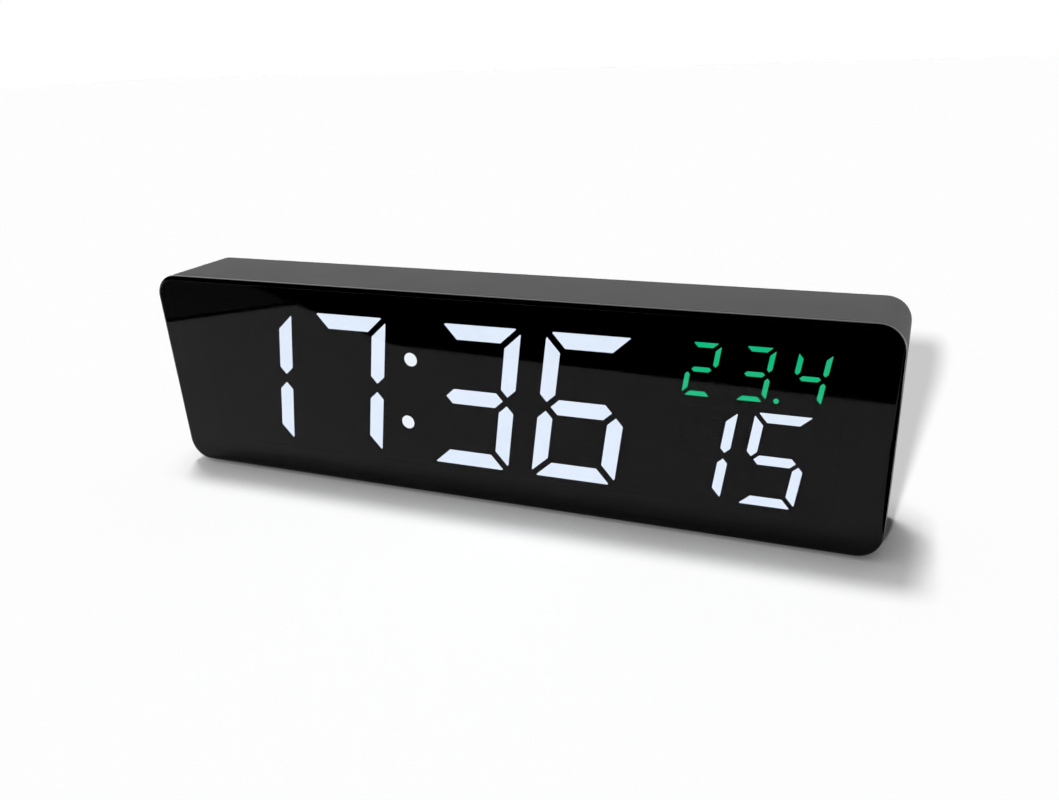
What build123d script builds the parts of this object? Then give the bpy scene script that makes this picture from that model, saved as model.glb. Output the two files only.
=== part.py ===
from build123d import *
import os
from collections import namedtuple
from math import radians, sqrt, tan

os.makedirs("parts", exist_ok=True)

# Driving dimensions, in millimetres and degrees

# Digits: seven leaning segments each, in three sizes
slant_angle = 9.1
time_digit_height = 43.0
time_digit_width = 24.96
time_stroke = 4.52
time_gap = 1.8
time_tip = 0.5
date_digit_width = 15.1
date_stroke = 2.65
date_gap = 1.13
date_tip = 0.35
temperature_digit_height = 14.38
temperature_digit_width = 8.08
temperature_stroke = 1.34
temperature_gap = 1.1
temperature_tip = 0.25
dot_radius = 2.07
dot_rise = 9.82
point_radius = 0.72
point_space = 2.63

# Layout of the digits on the face
left_margin = 19.8
right_margin = 20.96
digit_space = 7.32
colon_space = 17.15
group_gap = 13.17
date_space = 4.24
temperature_space = 5.36
temperature_shift = 3.48
temperature_rise = 0.36
row_gap = 2.76
bottom_margin = 10.12
top_margin = 8.48

# Stack from the face to the back
lens_thickness = 2.0
lens_edge = 1.2
tape_thickness = 0.25
bond_line = 0.02
tape_inset = 1.0
tape_width = 3.4
face_gap = 0.1
reflector_depth = 12.4
board_thickness = 1.6
rear_space = 8.85
cover_thickness = 2.0
cover_recess = 0.3

# Housing sleeve
corner_radius = 6.7
wall = 2.0
flange_thickness = 1.5
rear_lip = 1.1
rear_edge = 0.6
front_edge = 0.25
window_clearance = 0.4
guide_rib_thickness = 1.4
guide_rib_pitch = 38.0
guide_rib_count = 5
guide_clearance = 0.25
foot_radius = 4.0
foot_clearance = 0.05
foot_height = 1.5
foot_proud = 0.8
foot_inset = 22.0
foot_front = 7.5
foot_back = 5.5

# Screws and their bosses
boss_radius = 2.8
boss_rib = 1.5
boss_end = 6.8
cover_boss_reach = 21.5
board_boss_reach = 8.5
screw_radius = 1.25
screw_clearance = 0.08
screw_length = 8.0
screw_head_radius = 2.3
screw_head_height = 1.3
screw_slot_width = 0.7
screw_slot_depth = 0.6
screw_sink = 0.35
screw_pad = 1.0
pad_radius = 3.4
head_clearance = 0.3

# Display reflector, board and light chips
reflector_end = 13.0
display_border = 1.4
face_thickness = 1.6
reflector_wall = 1.2
funnel_wall = 1.0
time_narrowing = 0.85
date_narrowing = 0.5
temperature_narrowing = 0.15
diffuser_thickness = 1.5
diffuser_clearance = 0.05
post_radius = 2.0
post_inset = 3.4
peg_radius = 1.0
peg_clearance = 0.1
peg_proud = 0.6
board_ear = 4.5
board_ear_reach = 12.5
chip_height = 0.6
chip_side_share = 0.4
chip_top_share = 0.18
time_chip_length = 2.0
time_chip_width = 1.25
date_chip_length = 1.5
date_chip_width = 0.8
temperature_chip_length = 1.0
temperature_chip_width = 0.5

# Rear cover
cover_clearance = 0.15
cover_edge = 0.3
tab_length = 14.0
tab_thickness = 1.2
tab_depth = 2.6
tab_pitch = 46.0
tab_count = 4
tab_clearance = 0.2

# Keys and their switches
key_center = 46.0
key_pitch = 12.0
key_radius = 3.2
key_clearance = 0.3
key_travel = 0.5
key_sink = 0.2
key_dish = 0.25
key_edge = 0.3
key_flange = 1.1
key_flange_thickness = 0.9
key_rest_gap = 0.15
key_stem_radius = 1.6
key_well_depth = 0.8
key_well_margin = 3.0
switch_width = 6.0
switch_height = 3.5
plunger_radius = 1.7
plunger_clearance = 0.06
plunger_proud = 1.5
plunger_seat = 1.0
plunger_spare = 0.15

# Power socket
socket_place = -2.0
socket_width = 8.94
socket_height = 3.26
socket_wall = 0.3
socket_sink = 0.35
socket_clearance = 0.25
socket_base = 2.2
socket_dish_margin = 2.0
socket_dish_depth = 0.6
tongue_width = 6.7
tongue_thickness = 0.7
tongue_sink = 1.2
insulator_clearance = 0.05

# Battery cup, cell and twist door
door_place = -42.0
cell_radius = 10.0
cell_thickness = 3.2
cell_clearance = 0.3
cell_edge = 0.4
cell_room = 0.75
cup_floor = 1.0
cup_wall = 1.2
door_thickness = 1.6
door_gap = 0.2
door_clearance = 0.3
door_edge = 0.3
door_open_angle = 45.0
skirt_wall = 1.1
skirt_gap = 0.5
lip_thickness = 0.8
lug_thickness = 1.0
lug_reach = 1.4
lug_width = 7.4
lug_clearance = 0.9
lug_stop_width = 1.2
lug_stop_angle = 21.0
notch_clearance = 0.15
door_pad_radius = 6.0
door_pad_gap = 0.2
coin_slot_length = 15.0
coin_slot_width = 2.2
coin_slot_depth = 0.9
contact_thickness = 0.3
contact_width = 4.0
contact_foot = 2.5
contact_finger = 7.0
contact_offset = 5.0
contact_rise = 0.35
contact_side_gap = 0.1
contact_slot_clearance = 0.3

# Vents
sensor_vent_end = 19.0
sensor_vent_length = 10.0
buzzer_vent_end = 26.0
buzzer_vent_radius = 7.0
vent_width = 1.2
vent_pitch = 2.6
sensor_vent_count = 4
buzzer_vent_count = 5

# Small parts on the back of the board
buzzer_radius = 6.0
buzzer_height = 6.5
buzzer_hole_radius = 1.0
buzzer_hole_depth = 1.2
buzzer_edge = 0.4
sensor_radius = 1.4
sensor_length = 3.6
sensor_leg_radius = 0.25
sensor_leg_space = 1.3
sensor_leg_length = 4.2
chip_body_length = 10.0
chip_body_width = 5.4
chip_body_height = 1.5
chip_stand = 0.15
chip_edge = 0.25
leg_width = 0.45
leg_pitch = 1.27
leg_thickness = 0.25
leg_reach = 1.0
leg_count = 7
controller_end = 44.0
controller_lift = 10.0
driver_first = 12.0
driver_second = 46.0
driver_lift = 14.0
crystal_radius = 1.0
crystal_length = 6.0
crystal_gap = 0.03
crystal_drop = 9.0
capacitor_radius = 3.1
capacitor_height = 5.4
capacitor_edge = 0.4
capacitor_first = 10.0
capacitor_pitch = 8.5
capacitor_drop = 14.0

# One overrun serves every cut that passes a face
overrun = 1.0

# The digits shown, and the segments that each figure lights
shown_time = "1736"
shown_date = "15"
shown_temperature = "234"
all_segments = "abcdefg"
lit_segments = {"1": "bc", "2": "abdeg", "3": "abcdg", "4": "bcfg", "5": "acdfg", "6": "acdefg", "7": "abc"}
key_names = ("mode", "up", "down", "alarm", "light")

# Sizes that follow from those above
slant = tan(radians(slant_angle))
date_digit_height = time_digit_height + temperature_rise - temperature_digit_height - row_gap
time_pitch = time_digit_width + digit_space
colon_pitch = time_digit_width + colon_space
date_pitch = date_digit_width + date_space
temperature_pitch = temperature_digit_width + temperature_space
time_span = 2 * time_pitch + colon_pitch + time_digit_width
date_span = date_pitch + date_digit_width
case_width = left_margin + time_span + group_gap + date_span + right_margin
case_height = bottom_margin + time_digit_height + top_margin
lens_gap = tape_thickness + face_gap
case_depth = (lens_thickness + lens_gap + reflector_depth + board_thickness
              + rear_space + cover_thickness + cover_recess)

# Levels along Y, from the face at the front to the back
front_level = -case_depth / 2
back_level = case_depth / 2
lens_back = front_level + lens_thickness
flange_front = lens_back + tape_thickness
flange_back = flange_front + flange_thickness
reflector_front = lens_back + lens_gap
board_front = reflector_front + reflector_depth
board_back = board_front + board_thickness
cover_inside = board_back + rear_space
cover_outside = cover_inside + cover_thickness

# Heights along Z, from the surface that the feet stand on
case_bottom = foot_proud
case_middle = case_bottom + case_height / 2
digit_bottom = case_bottom + bottom_margin
time_middle = digit_bottom + time_digit_height / 2
date_middle = digit_bottom + date_digit_height / 2
temperature_middle = digit_bottom + time_digit_height + temperature_rise - temperature_digit_height / 2
row_middle = time_middle

# Display panel: reflector and board share one outline
panel_width = case_width - 2 * reflector_end
panel_height = time_digit_height + 2 * display_border
window_width = panel_width + 2 * window_clearance
window_height = panel_height + 2 * window_clearance

# Places of the digits along X
first_time_place = -case_width / 2 + left_margin + time_digit_width / 2
time_places = [
    first_time_place,
    first_time_place + time_pitch,
    first_time_place + time_pitch + colon_pitch,
    first_time_place + 2 * time_pitch + colon_pitch,
]
colon_place = (time_places[1] + time_places[2]) / 2
first_date_place = time_places[-1] + (time_digit_width + date_digit_width) / 2 + group_gap
date_places = [first_date_place, first_date_place + date_pitch]
temperature_center = first_date_place + date_pitch / 2 + temperature_shift
temperature_places = [temperature_center + step * temperature_pitch for step in (-1, 0, 1)]

# Sensor, buzzer and controller keep their distance from the case's ends
sensor_vent_place = case_width / 2 - sensor_vent_end
buzzer_vent_place = buzzer_vent_end - case_width / 2
controller_place = controller_end - case_width / 2

# Bosses stand between the panel's ends and the side walls
boss_place = case_width / 2 - boss_end
cover_boss_spots = [(side * boss_place, case_middle + up * cover_boss_reach)
                    for side in (-1, 1) for up in (-1, 1)]
board_boss_spots = [(side * boss_place, case_middle + up * board_boss_reach)
                    for side in (-1, 1) for up in (-1, 1)]
key_places = [key_center + (step - (len(key_names) - 1) / 2) * key_pitch for step in range(len(key_names))]

Style = namedtuple("Style", "width height stroke gap tip narrowing chip_length chip_width")
time_style = Style(time_digit_width, time_digit_height, time_stroke, time_gap, time_tip,
                   time_narrowing, time_chip_length, time_chip_width)
date_style = Style(date_digit_width, date_digit_height, date_stroke, date_gap, date_tip,
                   date_narrowing, date_chip_length, date_chip_width)
temperature_style = Style(temperature_digit_width, temperature_digit_height, temperature_stroke,
                          temperature_gap, temperature_tip, temperature_narrowing,
                          temperature_chip_length, temperature_chip_width)

Digit = namedtuple("Digit", "style place middle figure")
time_digits = [Digit(time_style, x, time_middle, n) for x, n in zip(time_places, shown_time)]
date_digits = [Digit(date_style, x, date_middle, n) for x, n in zip(date_places, shown_date)]
temperature_digits = [Digit(temperature_style, x, temperature_middle, n)
                      for x, n in zip(temperature_places, shown_temperature)]

# The colon leans with the digits, and the decimal point follows the middle small figure
colon_spots = [(colon_place + slant * rise, time_middle + rise) for rise in (dot_rise, -dot_rise)]
point_drop = (temperature_digit_height - temperature_stroke) / 2
point_spot = (
    temperature_places[1] + temperature_digit_width / 2 + point_space - slant * point_drop,
    temperature_middle - point_drop,
)


def front_plane(level):
    """A plane across the clock at a level along Y: X to the right, Z up, facing forward."""
    return Plane.XZ.offset(-level)


def axial_plane(place, height):
    """A plane through a front-to-back axis: first the radius from it, then the level along Y."""
    return Plane(origin=(place, 0, height), x_dir=(1, 0, 0), z_dir=(0, 0, 1))


def axial_axis(place, height):
    """The front-to-back axis through one spot of the face."""
    return Axis((place, 0, height), (0, 1, 0))


def leaning(digit, points):
    """Upright digit points, leaned over and moved to the digit's place."""
    return [(digit.place + u + slant * v, digit.middle + v) for u, v in points]


def skeleton(style):
    """Half the distance between the centre lines of a digit's outer strokes."""
    return (style.width - style.stroke) / 2, (style.height - style.stroke) / 2


def segment_points(digit, letter, inset=0):
    """Outline of one segment: mitred at the digit's corners, pointed at its waist."""
    style = digit.style
    side, top = skeleton(style)
    half = style.stroke / 2 - inset
    end = style.gap / sqrt(2) + inset * sqrt(2)
    tip = style.tip
    if letter in "ad":
        corner = side - end + half
        points = [(-corner + tip, top + half), (corner - tip, top + half),
                  (corner - tip / 2, top + half - tip / 2), (corner - 2 * half, top - half),
                  (2 * half - corner, top - half), (tip / 2 - corner, top + half - tip / 2)]
        flip_u, flip_v = 1, -1 if letter == "d" else 1
    elif letter == "g":
        reach = side - end
        points = [(-reach, 0), (half - reach, half), (reach - half, half),
                  (reach, 0), (reach - half, -half), (half - reach, -half)]
        flip_u, flip_v = 1, 1
    else:
        corner = top - end + half
        points = [(side + half, corner - tip), (side + half - tip / 2, corner - tip / 2),
                  (side - half, corner - 2 * half), (side - half, end + half),
                  (side, end), (side + half, end + half)]
        flip_u = -1 if letter in "ef" else 1
        flip_v = -1 if letter in "ce" else 1
    return leaning(digit, [(flip_u * u, flip_v * v) for u, v in points])


def chosen_segments(digits, lit):
    """The lit or the dark segments of some digits, each with its digit."""
    return [(digit, letter) for digit in digits for letter in all_segments
            if (letter in lit_segments[digit.figure]) == lit]


def leaning_box(digit, left, right, low, high):
    """Corners of an upright box, leaned over with its digit."""
    return leaning(digit, [(left, low), (right, low), (right, high), (left, high)])


def tower_faces(digits):
    """Figure-of-eight walls around the funnels of each digit."""
    for digit in digits:
        side, top = skeleton(digit.style)
        grow = digit.style.stroke / 2 + funnel_wall
        Polygon(*leaning_box(digit, -side - grow, side + grow, -top - grow, top + grow), align=None)
        for low, high in ((grow, top - grow), (grow - top, -grow)):
            Polygon(*leaning_box(digit, grow - side, side - grow, low, high), align=None, mode=Mode.SUBTRACT)


def chip_spots(digit):
    """Places of the light chips of one digit, with how many quarter turns each has."""
    side, top = skeleton(digit.style)
    spots = []
    for letter in all_segments:
        if letter in "adg":
            height = {"a": top, "d": -top, "g": 0}[letter]
            spots += [(leaning(digit, [(end * side * chip_side_share, height)])[0], 0) for end in (-1, 1)]
        else:
            across = -side if letter in "ef" else side
            rise = -top / 2 if letter in "ce" else top / 2
            spread = top * chip_top_share
            spots += [(leaning(digit, [(across, rise + end * spread)])[0], 1) for end in (-1, 1)]
    return spots


def chip_faces(digits):
    """Add the light chips of some digits to the open sketch, two to a segment."""
    for digit in digits:
        for spot, turned in chip_spots(digit):
            long, short = digit.style.chip_length, digit.style.chip_width
            with Locations(spot):
                Rectangle(short if turned else long, long if turned else short)


def finish(piece, label):
    """Label a finished piece and write it out."""
    piece.part.label = label
    export_step(piece.part, f"parts/{label}.step")


# Front lens: a full-face panel with a rounded front edge
with BuildPart() as front_lens:
    with BuildSketch(front_plane(lens_back)):
        with Locations((0, case_middle)):
            RectangleRounded(case_width, case_height, corner_radius)
    extrude(amount=lens_thickness)
    fillet(front_lens.faces().sort_by(Axis.Y)[0].edges(), lens_edge)
finish(front_lens, "front_lens")

# Adhesive ring between the lens and the housing's flange
with BuildPart() as lens_tape:
    with BuildSketch(front_plane(flange_front)):
        with Locations((0, case_middle)):
            RectangleRounded(case_width - 2 * tape_inset, case_height - 2 * tape_inset,
                             corner_radius - tape_inset)
            RectangleRounded(case_width - 2 * (tape_inset + tape_width),
                             case_height - 2 * (tape_inset + tape_width),
                             corner_radius - tape_inset - tape_width, mode=Mode.SUBTRACT)
    extrude(amount=tape_thickness - bond_line)
finish(lens_tape, "lens_tape")

# Housing: a sleeve with a front flange, a rebate for the cover, bosses and guide ribs
boss_top = cover_inside - screw_pad
foot_spots = [(side * (case_width / 2 - foot_inset), level)
              for side in (-1, 1) for level in (-foot_front, foot_back)]
foot_recess = foot_height - foot_proud
with BuildPart() as housing:
    with BuildSketch(front_plane(back_level)):
        with Locations((0, case_middle)):
            RectangleRounded(case_width, case_height, corner_radius)
    extrude(amount=back_level - flange_front)
    fillet(housing.faces().sort_by(Axis.Y)[-1].edges(), rear_edge)
    fillet(housing.faces().sort_by(Axis.Y)[0].edges(), front_edge)
    with BuildSketch(front_plane(back_level)):
        with Locations((0, case_middle)):
            RectangleRounded(case_width - 2 * wall, case_height - 2 * wall, corner_radius - wall)
    extrude(amount=back_level - flange_back, mode=Mode.SUBTRACT)
    with BuildSketch(front_plane(back_level)):
        with Locations((0, case_middle)):
            RectangleRounded(case_width - 2 * rear_lip, case_height - 2 * rear_lip, corner_radius - rear_lip)
    extrude(amount=back_level - cover_inside, mode=Mode.SUBTRACT)
    with BuildSketch(front_plane(flange_back)):
        with Locations((0, row_middle)):
            Rectangle(window_width, window_height)
    extrude(amount=flange_thickness, mode=Mode.SUBTRACT)
    for spots, top in ((cover_boss_spots, boss_top), (board_boss_spots, board_front)):
        with BuildSketch(front_plane(top)):
            for place, height in spots:
                side = 1 if place > 0 else -1
                with Locations((place, height)):
                    Circle(boss_radius)
                with Locations((place + side * (boss_end - wall / 2) / 2, height)):
                    Rectangle(boss_end - wall / 2, boss_rib)
        extrude(amount=top - flange_back)
        with BuildSketch(front_plane(top)):
            with Locations(*spots):
                Circle(screw_radius + screw_clearance)
        extrude(amount=screw_length, mode=Mode.SUBTRACT)
    for up in (-1, 1):
        edge = row_middle + up * (panel_height / 2 + guide_clearance)
        face = case_middle + up * (case_height / 2 - wall / 2)
        with BuildSketch(front_plane(board_front)):
            with Locations((0, (edge + face) / 2)):
                with GridLocations(guide_rib_pitch, 0, guide_rib_count, 1):
                    Rectangle(guide_rib_thickness, abs(face - edge))
        extrude(amount=board_front - flange_back)
    with BuildSketch(Plane.XY.offset(case_bottom)):
        with Locations(*foot_spots):
            Circle(foot_radius)
    extrude(amount=foot_recess, mode=Mode.SUBTRACT)
finish(housing, "housing")

# Rubber feet, seated in shallow recesses of the underside
with BuildPart() as feet:
    with BuildSketch(Plane.XY):
        with Locations(*foot_spots):
            Circle(foot_radius - foot_clearance)
    extrude(amount=foot_height)
    fillet(feet.faces().group_by(Axis.Z)[0].edges(), foot_proud / 2)
finish(feet, "feet")

# Display reflector: a face with a tapered funnel behind every segment
every_digit = time_digits + date_digits + temperature_digits
post_rise = panel_height / 2 - post_inset
gap_place = (time_places[-1] + first_date_place + (time_digit_width - date_digit_width) / 2) / 2
post_spots = [(side * (panel_width / 2 - post_inset), row_middle - side * post_rise) for side in (-1, 1)]
post_spots += [(place + slant * up * post_rise, row_middle + up * post_rise)
               for place in (colon_place, gap_place) for up in (-1, 1)]
funnels = []
with BuildPart() as display_reflector:
    with BuildSketch(front_plane(reflector_front + face_thickness)):
        with Locations((0, row_middle)):
            Rectangle(panel_width, panel_height)
    extrude(amount=face_thickness)
    with BuildSketch(front_plane(board_front)):
        with Locations((0, row_middle)):
            Rectangle(panel_width, panel_height)
            Rectangle(panel_width - 2 * reflector_wall, panel_height - 2 * reflector_wall,
                      mode=Mode.SUBTRACT)
        tower_faces(every_digit)
        with Locations(*colon_spots):
            Circle(dot_radius + funnel_wall)
        with Locations(point_spot):
            Circle(point_radius + funnel_wall)
        with Locations(*post_spots):
            Circle(post_radius)
    extrude(amount=reflector_depth - face_thickness)
    for digit, letter in chosen_segments(every_digit, True) + chosen_segments(every_digit, False):
        with BuildSketch(front_plane(reflector_front)):
            Polygon(*segment_points(digit, letter), align=None)
        with BuildSketch(front_plane(board_front)):
            Polygon(*segment_points(digit, letter, digit.style.narrowing), align=None)
        funnels.append(loft(ruled=True, mode=Mode.PRIVATE))
    add(funnels, mode=Mode.SUBTRACT)
    with BuildSketch(front_plane(board_front)):
        with Locations(*colon_spots):
            Circle(dot_radius)
        with Locations(point_spot):
            Circle(point_radius)
    extrude(amount=reflector_depth, mode=Mode.SUBTRACT)
    with BuildSketch(front_plane(board_back + peg_proud)):
        with Locations(*post_spots):
            Circle(peg_radius)
    extrude(amount=board_thickness + peg_proud)
finish(display_reflector, "display_reflector")


def diffusers(digits, lit):
    """Translucent fillings of the funnels, flush with the reflector's face."""
    lofts = []
    with BuildPart() as fillings:
        for digit, letter in chosen_segments(digits, lit):
            shrink = digit.style.narrowing * diffuser_thickness / reflector_depth
            with BuildSketch(front_plane(reflector_front)):
                Polygon(*segment_points(digit, letter, diffuser_clearance), align=None)
            with BuildSketch(front_plane(reflector_front + diffuser_thickness)):
                Polygon(*segment_points(digit, letter, diffuser_clearance + shrink), align=None)
            lofts.append(loft(ruled=True, mode=Mode.PRIVATE))
        add(lofts)
    return fillings


time_segments = diffusers(time_digits, True)
finish(time_segments, "time_segments")
date_segments = diffusers(date_digits, True)
finish(date_segments, "date_segments")
unlit_segments = diffusers(every_digit, False)
finish(unlit_segments, "unlit_segments")

with BuildPart() as colon_dots:
    with BuildSketch(front_plane(reflector_front + diffuser_thickness)):
        with Locations(*colon_spots):
            Circle(dot_radius - diffuser_clearance)
    extrude(amount=diffuser_thickness)
finish(colon_dots, "colon_dots")

temperature_segments = diffusers(temperature_digits, True)
with BuildPart() as temperature_lights:
    add(temperature_segments.part)
    with BuildSketch(front_plane(reflector_front + diffuser_thickness)):
        with Locations(point_spot):
            Circle(point_radius - diffuser_clearance)
    extrude(amount=diffuser_thickness)
finish(temperature_lights, "temperature_segments")

# Light chips stand on the board at the bottom of the funnels
with BuildPart() as white_leds:
    with BuildSketch(front_plane(board_front)):
        chip_faces(time_digits + date_digits)
        with Locations(*colon_spots):
            Rectangle(time_chip_length, time_chip_width)
    extrude(amount=chip_height)
finish(white_leds, "white_leds")

with BuildPart() as green_leds:
    with BuildSketch(front_plane(board_front)):
        chip_faces(temperature_digits)
        with Locations(point_spot):
            Rectangle(temperature_chip_length, temperature_chip_width)
    extrude(amount=chip_height)
finish(green_leds, "green_leds")

# Main board, with an ear at each end for its screws
with BuildPart() as main_board:
    with BuildSketch(front_plane(board_back)):
        with Locations((0, row_middle)):
            Rectangle(panel_width, panel_height)
        with Locations((0, case_middle)):
            Rectangle(2 * (boss_place + board_ear), 2 * board_ear_reach)
        with Locations(*post_spots):
            Circle(peg_radius + peg_clearance, mode=Mode.SUBTRACT)
        with Locations(*board_boss_spots):
            Circle(screw_radius + screw_clearance, mode=Mode.SUBTRACT)
    extrude(amount=board_thickness)
finish(main_board, "main_board")


def screws(spots, seat):
    """Round-headed screws with a cross recess, their heads behind the seat."""
    with BuildPart() as group:
        with BuildSketch(front_plane(seat)):
            with Locations(*spots):
                Circle(screw_radius)
        extrude(amount=screw_length - screw_clearance)
        with BuildSketch(front_plane(seat + screw_head_height)):
            with Locations(*spots):
                Circle(screw_head_radius)
        extrude(amount=screw_head_height)
        fillet(group.faces().group_by(Axis.Y)[-1].edges(), screw_head_height / 2)
        with BuildSketch(front_plane(seat + screw_head_height)):
            with Locations(*spots):
                Rectangle(2 * screw_radius, screw_slot_width)
                Rectangle(screw_slot_width, 2 * screw_radius)
        extrude(amount=screw_slot_depth, mode=Mode.SUBTRACT)
    return group


screw_seat = cover_outside - screw_sink - screw_head_height
finish(screws(board_boss_spots, board_back), "board_screws")
finish(screws(cover_boss_spots, screw_seat), "cover_screws")

# Battery cup: levels from the cover's back down to the cup's floor, and radii
door_inside = cover_outside - door_thickness
ledge_level = door_inside - door_gap
groove_top = ledge_level - lip_thickness
lug_top = groove_top - door_gap
lug_bottom = lug_top - lug_thickness
groove_bottom = lug_bottom - door_gap
cell_back = door_inside - door_pad_gap - door_gap
cell_front = cell_back - cell_thickness
cup_inside = cell_front - cell_room
cup_bottom = cup_inside - cup_floor
pocket_radius = cell_radius + cell_clearance
skirt_inner = cell_radius + skirt_gap
skirt_outer = skirt_inner + skirt_wall
lip_radius = skirt_outer + door_clearance
lug_radius = skirt_outer + lug_reach
groove_radius = lug_radius + door_clearance
door_radius = lug_radius
seat_radius = door_radius + door_clearance
cup_radius = groove_radius + cup_wall
pocket_outer = pocket_radius + cup_wall

# Contacts of the cell: the minus leg rises through the cup's floor, the plus blade beside the rim
minus_place = door_place + contact_offset
plus_place = door_place - cell_radius - contact_side_gap - contact_thickness
contact_slot = contact_thickness + 2 * contact_slot_clearance

# Keys: levels from the board up to the key's face
switch_top = board_back + switch_height
plunger_top = switch_top + plunger_proud
flange_high = cover_inside - key_rest_gap
flange_low = flange_high - key_flange_thickness
key_top = cover_outside - key_sink
key_well_level = cover_outside - key_well_depth
key_row_width = key_pitch * (len(key_names) - 1) + 2 * (key_radius + key_well_margin)
key_row_height = 2 * (key_radius + key_well_margin)

# Rear cover: plate, battery cup, screw pads and locating tabs, then its openings
cover_width = case_width - 2 * (rear_lip + cover_clearance)
cover_height = case_height - 2 * (rear_lip + cover_clearance)
tab_reach = case_height / 2 - wall - tab_clearance - tab_thickness / 2
with BuildPart() as rear_cover:
    with BuildSketch(front_plane(cover_outside)):
        with Locations((0, case_middle)):
            RectangleRounded(cover_width, cover_height, corner_radius - rear_lip - cover_clearance)
    extrude(amount=cover_thickness)
    chamfer(rear_cover.faces().sort_by(Axis.Y)[-1].edges(), cover_edge)
    with BuildSketch(front_plane(cover_inside)):
        with Locations(*cover_boss_spots):
            Circle(pad_radius)
    extrude(amount=screw_pad)
    with BuildSketch(front_plane(cover_inside)):
        with Locations((0, case_middle)):
            with GridLocations(tab_pitch, 2 * tab_reach, tab_count, 2):
                Rectangle(tab_length, tab_thickness)
    extrude(amount=tab_depth)
    with BuildSketch(axial_plane(door_place, case_middle)):
        with BuildLine():
            Polyline((0, cover_inside), (cup_radius, cover_inside), (cup_radius, groove_bottom - cup_wall),
                     (pocket_outer, groove_bottom - cup_wall), (pocket_outer, cup_bottom),
                     (0, cup_bottom), close=True)
        make_face()
    revolve(axis=axial_axis(door_place, case_middle))
    with BuildSketch(axial_plane(door_place, case_middle)):
        with BuildLine():
            Polyline((0, cup_inside), (pocket_radius, cup_inside), (pocket_radius, groove_bottom),
                     (groove_radius, groove_bottom), (groove_radius, groove_top), (lip_radius, groove_top),
                     (lip_radius, ledge_level), (seat_radius, ledge_level),
                     (seat_radius, cover_outside + overrun), (0, cover_outside + overrun), close=True)
        make_face()
    revolve(axis=axial_axis(door_place, case_middle), mode=Mode.SUBTRACT)
    with BuildSketch(front_plane(groove_top)):
        with Locations((door_place, case_middle)):
            for turn in (lug_stop_angle, -door_open_angle - lug_stop_angle):
                with PolarLocations((lip_radius + cup_radius) / 2, 2, start_angle=turn):
                    Rectangle(cup_radius - lip_radius, lug_stop_width)
    extrude(amount=groove_top - groove_bottom)
    with BuildSketch(front_plane(ledge_level)):
        with Locations((door_place, case_middle)):
            Circle(lug_radius + notch_clearance)
            Rectangle(2 * groove_radius, lug_width + 2 * lug_clearance, rotation=-door_open_angle,
                      mode=Mode.INTERSECT)
    extrude(amount=lip_thickness, mode=Mode.SUBTRACT)
    with BuildSketch(front_plane(cup_inside)):
        with Locations((minus_place + contact_thickness / 2, case_middle),
                       (plus_place + contact_thickness / 2, case_middle)):
            Rectangle(contact_slot, contact_width + 2 * contact_slot_clearance)
    extrude(amount=cup_floor, mode=Mode.SUBTRACT)
    with BuildSketch(front_plane(groove_bottom)):
        with Locations((plus_place + contact_thickness / 2, case_middle)):
            Rectangle(contact_slot, contact_width + 2 * contact_slot_clearance)
    extrude(amount=groove_bottom - cup_inside, mode=Mode.SUBTRACT)
    with BuildSketch(front_plane(cover_outside)):
        with Locations((key_center, case_middle)):
            SlotOverall(key_row_width, key_row_height)
    extrude(amount=key_well_depth, mode=Mode.SUBTRACT)
    with BuildSketch(front_plane(key_well_level)):
        with Locations(*[(place, case_middle) for place in key_places]):
            Circle(key_radius + key_clearance)
    extrude(amount=key_well_level - cover_inside, mode=Mode.SUBTRACT)
    with BuildSketch(front_plane(cover_outside)):
        with Locations((socket_place, case_middle)):
            SlotOverall(socket_width + 2 * socket_dish_margin, socket_height + 2 * socket_dish_margin)
    extrude(amount=socket_dish_depth, mode=Mode.SUBTRACT)
    with BuildSketch(front_plane(cover_outside)):
        with Locations((socket_place, case_middle)):
            SlotOverall(socket_width + 2 * socket_clearance, socket_height + 2 * socket_clearance)
    extrude(amount=cover_thickness, mode=Mode.SUBTRACT)
    with BuildSketch(front_plane(cover_outside)):
        with Locations((sensor_vent_place, case_middle)):
            with GridLocations(vent_pitch, 0, sensor_vent_count, 1):
                SlotOverall(sensor_vent_length, vent_width, rotation=90)
        for step in range(buzzer_vent_count):
            across = (step - (buzzer_vent_count - 1) / 2) * vent_pitch
            with Locations((buzzer_vent_place + across, case_middle)):
                SlotOverall(2 * sqrt(buzzer_vent_radius**2 - across**2), vent_width, rotation=90)
    extrude(amount=cover_thickness, mode=Mode.SUBTRACT)
    with BuildSketch(front_plane(cover_outside)):
        with Locations(*cover_boss_spots):
            Circle(screw_head_radius + head_clearance)
    extrude(amount=cover_outside - screw_seat, mode=Mode.SUBTRACT)
    with BuildSketch(front_plane(screw_seat)):
        with Locations(*cover_boss_spots):
            Circle(screw_radius + screw_clearance)
    extrude(amount=screw_seat - boss_top, mode=Mode.SUBTRACT)
finish(rear_cover, "rear_cover")

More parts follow.
